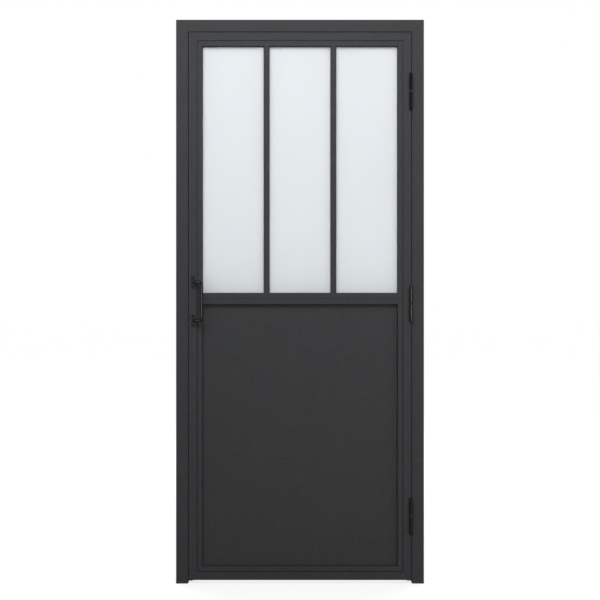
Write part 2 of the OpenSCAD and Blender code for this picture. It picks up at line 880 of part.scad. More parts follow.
// Outline of pane number -1, 0 or 1, grown past the sight lines by cover at each side.
module pane_outline(number, outer, bar) {
    middle = number * pane_pitch;
    left = number == -1 ? outer : bar;
    right = number == 1 ? outer : bar;
    span2d(
        [middle - pane_w / 2 - left, glass_low_z - outer],
        [middle + pane_w / 2 + right, glass_top_z + outer]
    );
}

module pane(number) {
    color([0.86, 0.9, 0.92]) upright_slab(glass_y, glass_y + glass_t)
        pane_outline(number, edge_cover, bar_cover);
}

// Gasket rings before and behind a pane.
module pane_gasket(number) {
    color(black) for (y = [glass_y - gasket_t, glass_y + glass_t])
        upright_slab(y, y + gasket_t) difference() {
            pane_outline(number, edge_cover, bar_cover);
            pane_outline(number, -gasket_lip, -gasket_lip);
        }
}

module glass_left() {
    pane(-1);
}

module glass_middle() {
    pane(0);
}

module glass_right() {
    pane(1);
}

module glass_gasket_left() {
    pane_gasket(-1);
}

module glass_gasket_middle() {
    pane_gasket(0);
}

module glass_gasket_right() {
    pane_gasket(1);
}

// Section of a bead from the sight line outwards. Its face starts at face_p and its base at base_p.
module bead_section(face_p, base_p, sight_p, depth, step_d) {
    step_y = front_y + step_d;
    base_y = front_y + depth;
    difference() {
        union() {
            span2d([face_p, front_y], [sight_p, base_y]);
            span2d([base_p, step_y], [sight_p, base_y]);
        }
        span2d(
            [max(face_p, base_p) + bead_wall, front_y + bead_wall],
            [sight_p - bead_wall, base_y - bead_wall]
        );
        if (base_p > face_p) span2d([face_p - over, step_y], [base_p, base_y + over]);
        corner_cut([face_p, front_y], [1, 1], min(edge_r, step_d / 2));
        corner_cut([sight_p, front_y], [-1, 1], edge_r);
    }
}

// Bead along a stile or an outer rail, measured from the leaf's edge, with a slot for the nib.
module edge_bead_section(depth, step_d) {
    difference() {
        bead_section(stile_face + groove_w, stile_face, sight, depth, step_d);
        span2d(
            [stile_face - over, nib_y - pin_clear],
            [stile_face + nib_out + pin_clear, nib_y + nib_d + pin_clear]
        );
    }
}

// Upright bead from the mitre at the mid rail to the mitre at the outer rail, drawn from the leaf's
// left edge and the mid rail's centre line, which is Z = 0.
module upright_bead(run, depth, step_d) {
    low = hairline / 2;
    high = run - mitre_cut;
    foot = mid_rail_w / 2 + mitre_cut;
    intersection() {
        linear_extrude(run) edge_bead_section(depth, step_d);
        upright_slab(-total_h, total_h)
            polygon([[0, low], [sight - foot + low, low], [sight, foot], [sight, high - sight], [0, high]]);
    }
}

// Bead along the mid rail, drawn from the rail's centre line, which is X = 0. Its ends are mitred,
// and their tips stop at the reveal groove.
module mid_rail_bead(depth) {
    half = mid_rail_w / 2;
    short = sight_x - mitre_cut;
    long = short + half;
    tip = min(long, sight_x + bead_w);
    intersection() {
        translate([0, 0, -tip]) linear_extrude(2 * tip)
            bead_section(hairline / 2, web_t / 2, half, depth, lap_d);
        upright_slab(-total_h, total_h) polygon([[0, -long], [half, -short], [half, short], [0, long]]);
    }
}

module glass_upright_bead() {
    translate([-leaf_w / 2, 0, mid_rail_z])
        upright_bead(leaf_top_z - mid_rail_z, glass_bead_d, glass_groove_d);
}

module panel_upright_bead() {
    translate([-leaf_w / 2, 0, mid_rail_z]) mirror([0, 0, 1])
        upright_bead(mid_rail_z - floor_gap, panel_bead_d, panel_groove_d);
}

module glass_bead_left() {
    color(coat) glass_upright_bead();
}

module glass_bead_right() {
    color(coat) mirror([1, 0, 0]) glass_upright_bead();
}

module glass_bead_top() {
    color(coat) at_leaf_corner(false, true) lying()
        mitred(leaf_w, sight) edge_bead_section(glass_bead_d, glass_groove_d);
}

module glass_bead_bottom() {
    color(coat) translate([0, 0, mid_rail_z]) lying() mid_rail_bead(glass_bead_d);
}

module panel_bead_left() {
    color(coat) panel_upright_bead();
}

module panel_bead_right() {
    color(coat) mirror([1, 0, 0]) panel_upright_bead();
}

module panel_bead_top() {
    color(coat) translate([0, 0, mid_rail_z]) mirror([0, 0, 1]) lying() mid_rail_bead(panel_bead_d);
}

module panel_bead_bottom() {
    color(coat) at_leaf_corner(false, false) lying()
        mitred(leaf_w, sight) edge_bead_section(panel_bead_d, panel_groove_d);
}

// Lower panel

module panel_outline(cover) {
    span2d([-sight_x - cover, panel_low_z - cover], [sight_x + cover, panel_top_z + cover]);
}

module lower_panel() {
    color(coat) upright_slab(panel_y, panel_y + panel_t) panel_outline(edge_cover);
}

module panel_gasket() {
    color(black) for (y = [panel_y - gasket_t, panel_y + panel_t])
        upright_slab(y, y + gasket_t) difference() {
            panel_outline(edge_cover);
            panel_outline(-gasket_lip);
        }
}

// Blocks on the mid rail's web under each pane, and on the bottom rail under the panel.
module setting_blocks() {
    web_top_z = mid_rail_z + web_t / 2;
    rebate_z = floor_gap + stile_face;
    pane_block_x = pane_w / 2 - block_inset - block_l / 2;
    panel_block_x = sight_x - block_inset - block_l / 2;
    color(black) for (side = [-1, 1]) {
        for (number = [-1, 0, 1]) translate([number * pane_pitch + side * pane_block_x, 0, 0])
            span3d(
                [-block_l / 2, glass_y, web_top_z],
                [block_l / 2, glass_y + glass_t, glass_low_z - edge_cover]
            );
        translate([side * panel_block_x, 0, 0])
            span3d(
                [-block_l / 2, panel_y, rebate_z],
                [block_l / 2, panel_y + panel_t, panel_low_z - edge_cover]
            );
    }
}

// Handles

// Round bar bent to a U in the XZ plane, with its legs along X.
module bent_bar() {
    leg_end = handle_leg - handle_bend_r;
    grip_end = handle_span / 2 - handle_bend_r;
    for (up = [0, 1]) mirror([0, 0, up]) {
        translate([-handle_d, 0, handle_span / 2]) rotate([0, 90, 0])
            cylinder(d = handle_d, h = leg_end + handle_d);
        translate([leg_end, 0, grip_end]) rotate([90, 0, 0])
            rotate_extrude(angle = 90) translate([handle_bend_r, 0]) circle(d = handle_d);
    }
    translate([handle_leg, 0, -grip_end]) cylinder(d = handle_d, h = 2 * grip_end);
}

// Foot plate with round ends, standing on Y = 0 and drawn round its middle.
module foot_plate() {
    end_z = (foot_h - foot_w) / 2;
    upright_slab(-foot_t, 0) {
        span2d([-foot_w / 2, -end_z], [foot_w / 2, end_z]);
        for (s = [-1, 1]) translate([0, s * end_z]) circle(d = foot_w);
    }
}

// Handle on a face at Y = 0, standing out to -Y, with its grip set off to +X.
module handle() {
    difference() {
        union() {
            intersection() {
                rotate([0, 0, -handle_turn]) bent_bar();
                span3d([-handle_span, -handle_span, -handle_span], [handle_span, -foot_t / 2, handle_span]);
            }
            for (s = [-1, 1]) translate([0, 0, s * handle_span / 2]) foot_plate();
        }
        foot_screw_places() translate([0, 0, -foot_t - over])
            cylinder(r = screw_r + pin_clear, h = foot_t + 2 * over);
    }
}

module at_front_handle() {
    translate([-leaf_w / 2 + handle_inset_front, front_y, handle_z]) children();
}

module at_back_handle() {
    translate([-leaf_w / 2 + handle_inset_back, back_y, handle_z]) mirror([0, 1, 0]) children();
}

// Places a drawing along Z, pointing out of the foot plates, at each handle screw.
module foot_screw_places() {
    for (s = [-1, 1]) for (t = [-1, 1])
        translate([0, -foot_t, s * handle_span / 2 + t * foot_screws / 2]) rotate([90, 0, 0]) children();
}

module handle_screw_places() {
    at_front_handle() foot_screw_places() children();
    at_back_handle() foot_screw_places() children();
}

module handle_front() {
    color(black) at_front_handle() handle();
}

module handle_back() {
    color(black) at_back_handle() handle();
}

module handle_screws() {
    color(black) handle_screw_places() button_screw(foot_t + foot_grip);
}

// Roller catch

// Puts the drawing on the latch edge of the leaf, with +X going into the leaf.
module at_latch() {
    translate([edge_x, 0, latch_z]) children();
}

module latch_case() {
    color(steel) at_latch() difference() {
        union() {
            span3d([0, -plate_w / 2, -faceplate_h / 2], [wall, plate_w / 2, faceplate_h / 2]);
            span3d([wall / 2, -case_w / 2, -case_h / 2], [case_back_a, case_w / 2, case_h / 2]);
        }
        span3d(
            [-over, -cavity_w / 2, -bolt_h / 2 - slide_clear],
            [wall + over, cavity_w / 2, bolt_h / 2 + slide_clear]
        );
        span3d([wall, -cavity_w / 2, -cavity_h / 2], [cavity_back_a, cavity_w / 2, cavity_h / 2]);
        for (z = [-latch_screw_z, latch_screw_z])
            translate([0, 0, z]) rotate([0, -90, 0]) countersunk_hole(screw_grip);
    }
}

module latch_screws() {
    color(steel) at_latch() for (z = [-latch_screw_z, latch_screw_z])
        translate([0, 0, z]) rotate([0, -90, 0]) countersunk_screw(screw_grip);
}

// Fork that carries the roller, with a shoulder behind the faceplate and a shank for the spring.
module latch_bolt() {
    slot_h = roller_h + 2 * slide_clear;
    slot_a = roller_a + roller_d / 2 + slide_clear;
    shoulder_h = bolt_h + 2 * bolt_shoulder;
    color(steel) at_latch() difference() {
        union() {
            span3d([fork_a, -bolt_w / 2, -bolt_h / 2], [bolt_depth, bolt_w / 2, bolt_h / 2]);
            span3d([wall, -bolt_w / 2, -shoulder_h / 2], [bolt_depth, bolt_w / 2, shoulder_h / 2]);
            translate([bolt_depth - over, 0, 0]) rotate([0, 90, 0]) cylinder(d = shank_d, h = shank_l + over);
        }
        span3d([fork_a - over, -bolt_w / 2 - over, -slot_h / 2], [slot_a, bolt_w / 2 + over, slot_h / 2]);
        translate([roller_a, 0, -bolt_h / 2 - over])
            cylinder(d = roller_pin_d + 2 * pin_clear, h = bolt_h + 2 * over);
    }
}

module latch_roller_pin() {
    color(steel) at_latch() translate([roller_a, 0, -bolt_h / 2]) cylinder(d = roller_pin_d, h = bolt_h);
}

module latch_roller() {
    rim = roller_chamfer;
    color([0.8, 0.78, 0.72]) at_latch() translate([roller_a, 0, -roller_h / 2]) difference() {
        rotate_extrude()
            polygon([
                [0, 0], [roller_d / 2 - rim, 0], [roller_d / 2, rim], [roller_d / 2, roller_h - rim],
                [roller_d / 2 - rim, roller_h], [0, roller_h]
            ]);
        translate([0, 0, -over]) cylinder(d = roller_pin_d + 2 * pin_clear, h = roller_h + 2 * over);
    }
}

// Coil spring round the shank, between the bolt and the back of the case.
module latch_spring() {
    sides = 8;
    steps = 16 * spring_turns;
    coil_r = shank_d / 2 + slide_clear + spring_wire / 2;
    start_a = bolt_depth + spring_wire / 2;
    run = cavity_back_a - bolt_depth - spring_wire;
    ring = [
        for (k = [0:sides - 1]) let (t = full_turn * k / sides)
            spring_wire / 2 * [cos(t), sin(t)]
    ];
    points = [
        for (i = [0:steps]) for (p = ring) let (t = full_turn * spring_turns * i / steps)
            [start_a + run * i / steps + p[1], (coil_r + p[0]) * cos(t), (coil_r + p[0]) * sin(t)]
    ];
    walls = [
        for (i = [0:steps - 1]) for (k = [0:sides - 1]) let (n = (k + 1) % sides)
            [i * sides + k, i * sides + n, (i + 1) * sides + n, (i + 1) * sides + k]
    ];
    ends = [[for (k = [sides - 1:-1:0]) k], [for (k = [0:sides - 1]) steps * sides + k]];
    color(steel) at_latch() polyhedron(points, concat(walls, ends));
}

frame_jamb_hinge();
frame_jamb_latch();
frame_head();
frame_corner_cleats();
frame_seal_hinge();
frame_seal_latch();
frame_seal_head();
frame_backing_plates();
strike_plate();
strike_screws();
hinge_frame_half_top();
hinge_frame_half_middle();
hinge_frame_half_bottom();
hinge_pins();
hinge_bushes();
hinge_frame_caps();
hinge_frame_screws();
leaf_stile_hinge();
leaf_stile_latch();
leaf_rail_top();
leaf_rail_bottom();
leaf_rail_mid();
leaf_corner_cleats();
leaf_backing_plates();
glazing_bar_left();
glazing_bar_right();
glazing_cap_left();
glazing_cap_right();
glass_left();
glass_middle();
glass_right();
glass_gasket_left();
glass_gasket_middle();
glass_gasket_right();
glass_bead_top();
glass_bead_bottom();
glass_bead_left();
glass_bead_right();
lower_panel();
panel_gasket();
setting_blocks();
panel_bead_top();
panel_bead_bottom();
panel_bead_left();
panel_bead_right();
handle_front();
handle_back();
handle_screws();
hinge_leaf_half_top();
hinge_leaf_half_middle();
hinge_leaf_half_bottom();
hinge_leaf_caps();
hinge_leaf_screws();
latch_case();
latch_screws();
latch_spring();
latch_bolt();
latch_roller_pin();
latch_roller();
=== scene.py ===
"""Interior door with its frame: finishes, fine hardware, studio light and camera.

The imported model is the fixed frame. This script gives each of its nodes a finish, makes finer screws and
a finer catch spring in place of the plain ones, and sets up the studio. Lengths are in metres, in the
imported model's own frame: the door stands on Z = 0, and its front faces -Y.
"""

import logging
import math
from dataclasses import dataclass
from enum import Enum
from typing import Any, Sequence

import bpy
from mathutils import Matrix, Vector


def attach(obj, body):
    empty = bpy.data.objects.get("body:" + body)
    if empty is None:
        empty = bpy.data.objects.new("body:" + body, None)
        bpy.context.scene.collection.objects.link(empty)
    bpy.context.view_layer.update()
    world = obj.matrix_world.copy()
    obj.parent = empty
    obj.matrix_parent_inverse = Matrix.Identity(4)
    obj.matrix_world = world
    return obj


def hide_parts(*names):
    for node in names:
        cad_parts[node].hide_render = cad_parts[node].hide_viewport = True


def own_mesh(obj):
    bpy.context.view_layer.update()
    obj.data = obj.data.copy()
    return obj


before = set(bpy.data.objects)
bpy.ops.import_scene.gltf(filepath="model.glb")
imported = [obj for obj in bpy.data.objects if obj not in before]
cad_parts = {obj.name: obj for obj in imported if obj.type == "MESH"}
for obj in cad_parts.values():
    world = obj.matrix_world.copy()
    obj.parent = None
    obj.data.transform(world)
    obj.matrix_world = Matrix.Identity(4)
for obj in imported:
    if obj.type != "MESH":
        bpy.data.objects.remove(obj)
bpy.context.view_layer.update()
LOG = logging.getLogger("interior_door")

Color = tuple[float, float, float]
Point = tuple[float, float, float]
Span = tuple[float, float]
Stops = Sequence[Span]

NOISE_MIDDLE = 0.5
QUARTER_TURN = math.pi / 2.0
HEXAGON_SIDES = 6
HEXAGON_TURN = 2.0 * math.pi / HEXAGON_SIDES
BELOW_ABOVE = (-1, 1)


class Slot(Enum):
    """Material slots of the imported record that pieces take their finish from."""

    COAT = "coat"
    PANEL = "panel_coat"
    GLASS = "frosted_glass"
    GASKET = "gasket"
    HINGE = "hinge_black"
    HANDLE = "handle_black"
    ZINC = "zinc_steel"
    CLEAT = "cleat_aluminium"
    BUSH = "nylon"
    ROLLER = "roller_nylon"


class HeadStyle(Enum):
    """Shapes of a screw head."""

    BUTTON = "button"
    COUNTERSUNK = "countersunk"


@dataclass(frozen=True)
class Grain:
    """Noise pattern: the width of its blotches, and how far and how roughly they break up."""

    size: float
    detail: float = 2.0
    rough: float = 0.5


@dataclass(frozen=True)
class Relief:
    """Depth of a surface's texture, and the share of it that tilts the surface."""

    depth: float
    strength: float


class Wire:
    """Output socket of a node that can be used in Python expressions on values."""

    def __init__(self, tree: "NodeTree", socket: bpy.types.NodeSocket | None) -> None:
        """Keeps the socket and the tree that new Math nodes go to."""
        self.tree = tree
        self.socket = socket

    def out(self, name: str) -> "Wire":
        """Another output of the same node."""
        return Wire(self.tree, self.socket.node.outputs[name])

    def swing(self, reach: float) -> "Wire":
        """Noise made to swing about 0, over the given reach."""
        return (self - NOISE_MIDDLE) * reach

    def __add__(self, other: "Wire | float") -> "Wire":
        """Sum of two values."""
        return self.tree.math("ADD", self, other)

    def __sub__(self, other: "Wire | float") -> "Wire":
        """This value less another."""
        return self.tree.math("SUBTRACT", self, other)

    def __rsub__(self, other: float) -> "Wire":
        """A number less this value."""
        return self.tree.math("SUBTRACT", other, self)

    def __mul__(self, other: "Wire | float") -> "Wire":
        """Product of two values."""
        return self.tree.math("MULTIPLY", self, other)

    def __truediv__(self, other: "Wire | float") -> "Wire":
        """This value over another."""
        return self.tree.math("DIVIDE", self, other)

    def __rtruediv__(self, other: float) -> "Wire":
        """A number over this value."""
        return self.tree.math("DIVIDE", other, self)

    __radd__ = __add__
    __rmul__ = __mul__


class NodeTree:
    """Node tree that is filled by short calls."""

    def __init__(self, tree: bpy.types.NodeTree) -> None:
        """Starts with an empty tree."""
        self.tree = tree
        tree.nodes.clear()

    def node(
        self,
        kind: str,
        settings: dict[str, Any] | None = None,
        inputs: dict[str | int, Any] | None = None,
        output: str | int = 0,
    ) -> Wire:
        """Makes one node.

        Args:
            kind: Blender's type of the node.
            settings: Values of the node itself, set first; "stops" fills a colour ramp.
            inputs: Values or wires of its sockets, by name or number; a list fills a joint socket.
            output: The output that is given back.

        Returns:
            The wire of that output, without a socket where the node has no outputs.
        """
        made = self.tree.nodes.new(kind)
        for name, value in (settings or {}).items():
            if name == "stops":
                self._fill_ramp(made.color_ramp, value)
            else:
                setattr(made, name, value)
        for key, value in (inputs or {}).items():
            if isinstance(value, (Wire, list)):
                for wire in value if isinstance(value, list) else [value]:
                    self.tree.links.new(wire.socket, made.inputs[key])
            else:
                made.inputs[key].default_value = value
        return Wire(self, made.outputs[output] if len(made.outputs) else None)

    @staticmethod
    def _fill_ramp(ramp: bpy.types.ColorRamp, stops: Stops) -> None:
        """Sets the grey stops of a ramp.

        Args:
            ramp: The colour ramp of a node.
            stops: Position and level of each stop, in rising order.
        """
        while len(ramp.elements) < len(stops):
            ramp.elements.new(NOISE_MIDDLE)
        for element, (position, level) in zip(ramp.elements, stops):
            element.position = position
            element.color = (level, level, level, 1.0)

    def math(self, operation: str, *values: "Wire | float") -> Wire:
        """Math node on one, two or three values."""
        return self.node("ShaderNodeMath", {"operation": operation}, dict(enumerate(values)))

    def blend(self, share: Wire, first: Color, second: Color) -> Wire:
        """Mixes two colours.

        Args:
            share: Share of the second colour.
            first: Colour where the share is 0.
            second: Colour where the share is 1.

        Returns:
            The mixed colour.
        """
        factor, color_a, color_b, color_out = 0, 6, 7, 2
        return self.node(
            "ShaderNodeMix",
            {"data_type": "RGBA"},
            {factor: share, color_a: (*first, 1.0), color_b: (*second, 1.0)},
            color_out,
        )

    def object_place(self) -> Wire:
        """Place on the piece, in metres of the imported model's frame."""
        return self.node("ShaderNodeTexCoord", output="Object")

    def part(self, vector: Wire, axis: str) -> Wire:
        """One axis of a vector."""
        return self.node("ShaderNodeSeparateXYZ", None, {"Vector": vector}, axis)

    def stretched(self, place: Wire, scale: Point) -> Wire:
        """Place with each axis scaled, for grain that runs one way."""
        return self.node("ShaderNodeMapping", {"vector_type": "POINT"}, {"Vector": place, "Scale": scale})

    def noise(self, place: Wire, grain: Grain) -> Wire:
        """Noise from 0 to 1.

        Args:
            place: Where on the piece it is read.
            grain: Its pattern.

        Returns:
            The value of the noise.
        """
        pattern = {"Scale": 1.0 / grain.size, "Detail": grain.detail, "Roughness": grain.rough}
        return self.node("ShaderNodeTexNoise", {"noise_dimensions": "3D"}, {"Vector": place, **pattern})

    def ramp(self, value: Wire, stops: Stops) -> Wire:
        """Grey ramp over a value."""
        return self.node("ShaderNodeValToRGB", {"stops": stops}, {"Fac": value})

    def bump(self, height: Wire, relief: Relief) -> Wire:
        """Normal that is tilted by a height pattern."""
        sizes = {"Distance": relief.depth, "Strength": relief.strength}
        return self.node("ShaderNodeBump", None, {"Height": height, **sizes})

    def soft_step(self, value: Wire, span: Span, levels: Span) -> Wire:
        """Goes softly from one level to another.

        Args:
            value: The value that is watched.
            span: Where the step begins and ends.
            levels: Levels before and after it.

        Returns:
            The level.
        """
        limits = {"From Min": span[0], "From Max": span[1], "To Min": levels[0], "To Max": levels[1]}
        return self.node(
            "ShaderNodeMapRange", {"interpolation_type": "SMOOTHSTEP"}, {"Value": value, **limits}
        )


@dataclass(frozen=True)
class Finish:
    """Surface that one of the record's material slots stands for."""

    slot: Slot

    def sockets(self, tree: NodeTree, place: Wire) -> dict[str, Any]:
        """What the finish sets on its Principled shader; each kind of finish has its own.

        Args:
            tree: The material's node tree.
            place: Place on the piece.

        Returns:
            Values and wires, by the socket's name.
        """
        raise NotImplementedError

    def build(self) -> bpy.types.Material:
        """Makes the material.

        Returns:
            The material, named for its slot.
        """
        material = bpy.data.materials.new(f"{self.slot.value}_finish")
        material.use_nodes = True
        tree = NodeTree(material.node_tree)
        inputs = self.sockets(tree, tree.object_place())
        shader = tree.node("ShaderNodeBsdfPrincipled", None, inputs)
        tree.node("ShaderNodeOutputMaterial", None, {"Surface": shader})
        return material


@dataclass(frozen=True)
class PowderCoat(Finish):
    """Fine-textured powder coating: matt pebbles under a soft sheen, with a faint mottle."""

    dark: Color
    light: Color
    pebbles: Grain = Grain(0.0016, 3.0, 0.62)
    mottle: Grain = Grain(0.0032, 3.0, 0.6)
    cloud: Grain = Grain(0.11)
    pebble_share: float = 0.55
    mottle_share: float = 0.38
    cloud_share: float = 0.07
    tone: Stops = ((0.37, 0.0), (0.63, 1.0))
    relief: Relief = Relief(0.00006, 0.45)
    roughness: float = 0.70
    pebble_swing: float = 0.16
    cloud_swing: float = 0.06
    specular: float = 0.26

    def sockets(self, tree: NodeTree, place: Wire) -> dict[str, Any]:
        """Shader of the coating.

        Args:
            tree: The material's node tree.
            place: Place on the piece.

        Returns:
            Values and wires, by the socket's name.
        """
        pebbles = tree.noise(place, self.pebbles)
        mottle = tree.noise(place, self.mottle)
        cloud = tree.noise(place, self.cloud)
        mixed = pebbles * self.pebble_share + mottle * self.mottle_share + cloud * self.cloud_share
        return {
            "Base Color": tree.blend(tree.ramp(mixed, self.tone), self.dark, self.light),
            "Roughness": self.roughness + pebbles.swing(self.pebble_swing) + cloud.swing(self.cloud_swing),
            "Specular IOR Level": self.specular,
            "Normal": tree.bump(pebbles, self.relief),
        }


@dataclass(frozen=True)
class BlackPaint(Finish):
    """Smooth black stove enamel with a faint orange peel."""

    color: Color
    lift: Color
    roughness: float
    specular: float
    peel: Grain = Grain(0.0028, 2.0, 0.45)
    rub: Grain = Grain(0.0084, 4.0, 0.6)
    rub_tone: Stops = ((0.35, 0.0), (0.75, 1.0))
    rub_swing: float = 0.04
    relief: Relief = Relief(0.00002, 0.35)

    def sockets(self, tree: NodeTree, place: Wire) -> dict[str, Any]:
        """Shader of the paint.

        Args:
            tree: The material's node tree.
            place: Place on the piece.

        Returns:
            Values and wires, by the socket's name.
        """
        peel = tree.noise(place, self.peel)
        rub = tree.noise(place, self.rub)
        return {
            "Base Color": tree.blend(tree.ramp(rub, self.rub_tone), self.color, self.lift),
            "Roughness": self.roughness + rub.swing(self.rub_swing),
            "Specular IOR Level": self.specular,
            "Normal": tree.bump(peel, self.relief),
        }


@dataclass(frozen=True)
class FrostedGlass(Finish):
    """Etched glass: light comes through it, but no picture. Its colour is painted darker towards the bottom
    of the pane: painted shade.
    """

    slot: Slot = Slot.GLASS
    color: Color = (0.792, 0.820, 0.840)
    # The bottom-edge colour, its fade and the wobble of the fade's border are painted shade, darker towards
    # the pane's bottom.
    painted_sill_shade: Color = (0.707, 0.738, 0.758)
    sill_z: float = 1.0815
    fade: float = 0.25
    fade_tone: Stops = ((0.0, 0.0), (0.27, 0.6), (0.5, 0.84), (1.0, 1.0))
    shade_wobble: Grain = Grain(0.16)
    shade_wobble_stretch: Point = (1.0, 1.0, 0.35)
    shade_wobble_swing: float = 0.12
    etch: Grain = Grain(0.0007, 2.0, 0.6)
    etch_swing: float = 0.1
    relief: Relief = Relief(0.00003, 0.3)
    roughness: float = 0.75
    through: float = 0.62
    index: float = 1.5
    specular: float = 0.35

    def sockets(self, tree: NodeTree, place: Wire) -> dict[str, Any]:
        """Shader of the glass.

        Args:
            tree: The material's node tree.
            place: Place on the piece.

        Returns:
            Values and wires, by the socket's name.
        """
        etch = tree.noise(place, self.etch)
        shade_wobble = tree.noise(tree.stretched(place, self.shade_wobble_stretch), self.shade_wobble)
        # Painted shade: the colour fades darker towards the pane's bottom edge, along a wobbly border.
        rise = (tree.part(place, "Z") - self.sill_z) / self.fade + shade_wobble.swing(self.shade_wobble_swing)
        return {
            "Base Color": tree.blend(tree.ramp(rise, self.fade_tone), self.painted_sill_shade, self.color),
            "Roughness": self.roughness + etch.swing(self.etch_swing),
            "IOR": self.index,
            "Transmission Weight": self.through,
            "Specular IOR Level": self.specular,
            "Normal": tree.bump(etch, self.relief),
        }


@dataclass(frozen=True)
class SealRubber(Finish):
    """Extruded black rubber with a dusty bloom."""

    slot: Slot = Slot.GASKET
    color: Color = (0.0075, 0.0075, 0.008)
    dusty: Color = (0.016, 0.016, 0.0165)
    grain: Grain = Grain(0.0006, 2.0, 0.6)
    bloom: Grain = Grain(0.02, 4.0, 0.65)
    bloom_tone: Stops = ((0.4, 0.0), (0.8, 1.0))
    bloom_swing: float = 0.2
    relief: Relief = Relief(0.00004, 0.4)
    roughness: float = 0.78
    specular: float = 0.3

    def sockets(self, tree: NodeTree, place: Wire) -> dict[str, Any]:
        """Shader of the rubber.

        Args:
            tree: The material's node tree.
            place: Place on the piece.

        Returns:
            Values and wires, by the socket's name.
        """
        grain = tree.noise(place, self.grain)
        bloom = tree.noise(place, self.bloom)
        return {
            "Base Color": tree.blend(tree.ramp(bloom, self.bloom_tone), self.color, self.dusty),
            "Roughness": self.roughness + bloom.swing(self.bloom_swing),
            "Specular IOR Level": self.specular,
            "Normal": tree.bump(grain, self.relief),
        }


@dataclass(frozen=True)
class BareMetal(Finish):
    """Plated or mill-finish metal with fine drawn lines and a cloudy tint."""

    color: Color
    tint: Color
    roughness: float
    stretch: Point
    lines: Grain = Grain(0.0011, 3.0, 0.6)
    lines_swing: float = 0.25
    cloud: Grain = Grain(0.008, 3.0, 0.6)
    cloud_tone: Stops = ((0.3, 0.0), (0.7, 1.0))
    relief: Relief = Relief(0.00002, 0.3)

    def sockets(self, tree: NodeTree, place: Wire) -> dict[str, Any]:
        """Shader of the metal.

        Args:
            tree: The material's node tree.
            place: Place on the piece.

        Returns:
            Values and wires, by the socket's name.
        """
        lines = tree.noise(tree.stretched(place, self.stretch), self.lines)
        cloud = tree.noise(place, self.cloud)
        return {
            "Base Color": tree.blend(tree.ramp(cloud, self.cloud_tone), self.color, self.tint),
            "Metallic": 1.0,
            "Roughness": self.roughness + lines.swing(self.lines_swing),
            "Normal": tree.bump(lines, self.relief),
        }


@dataclass(frozen=True)
class MouldedNylon(Finish):
    """Moulded nylon with a faint spark-eroded texture."""

    color: Color
    pale: Color
    grain: Grain = Grain(0.0005, 2.0, 0.6)
    grain_swing: float = 0.2
    cloud: Grain = Grain(0.006)
    relief: Relief = Relief(0.00003, 0.3)
    roughness: float = 0.48

    def sockets(self, tree: NodeTree, place: Wire) -> dict[str, Any]:
        """Shader of the nylon.

        Args:
            tree: The material's node tree.
            place: Place on the piece.

        Returns:
            Values and wires, by the socket's name.
        """
        grain = tree.noise(place, self.grain)
        cloud = tree.noise(place, self.cloud)
        return {
            "Base Color": tree.blend(cloud, self.color, self.pale),
            "Roughness": self.roughness + grain.swing(self.grain_swing),
            "Normal": tree.bump(grain, self.relief),
        }


FINISHES: tuple[Finish, ...] = (
    PowderCoat(Slot.COAT, dark=(0.0215, 0.0219, 0.0236), light=(0.0450, 0.0459, 0.0487)),
    PowderCoat(Slot.PANEL, dark=(0.0215, 0.0221, 0.0234), light=(0.0440, 0.0451, 0.0468)),
    FrostedGlass(),
    SealRubber(),
    BlackPaint(
        Slot.HINGE,
        color=(0.0042, 0.0042, 0.0044),
        lift=(0.0068, 0.0068, 0.0072),
        roughness=0.2,
        specular=0.42,
    ),
    BlackPaint(
        Slot.HANDLE,
        color=(0.0060, 0.0060, 0.0063),
        lift=(0.0095, 0.0095, 0.010),
        roughness=0.24,
        specular=0.4,
    ),
    BareMetal(
        Slot.ZINC,
        color=(0.55, 0.56, 0.58),
        tint=(0.62, 0.61, 0.56),
        roughness=0.36,
        stretch=(1.0, 1.0, 0.12),
    ),
    BareMetal(
        Slot.CLEAT,
        color=(0.66, 0.66, 0.68),
        tint=(0.72, 0.72, 0.73),
        roughness=0.42,
        stretch=(1.0, 0.08, 1.0),
    ),
    MouldedNylon(Slot.BUSH, color=(0.010, 0.010, 0.0105), pale=(0.015, 0.015, 0.0155)),
    MouldedNylon(Slot.ROLLER, color=(0.64, 0.60, 0.52), pale=(0.72, 0.68, 0.60)),
)


class Wardrobe:
    """Materials of the door, by slot."""

    def __init__(self) -> None:
        """Builds every finish once."""
        self.materials: dict[Slot, bpy.types.Material] = {f.slot: f.build() for f in FINISHES}

    def dress(self, slot: Slot, *nodes: str) -> None:
        """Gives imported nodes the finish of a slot.

        Args:
            slot: The finish.
            nodes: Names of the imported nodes.
        """
        for name in nodes:
            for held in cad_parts[name].material_slots:
                held.material = self.materials[slot]
            LOG.info("%s: %s", name, slot.value)


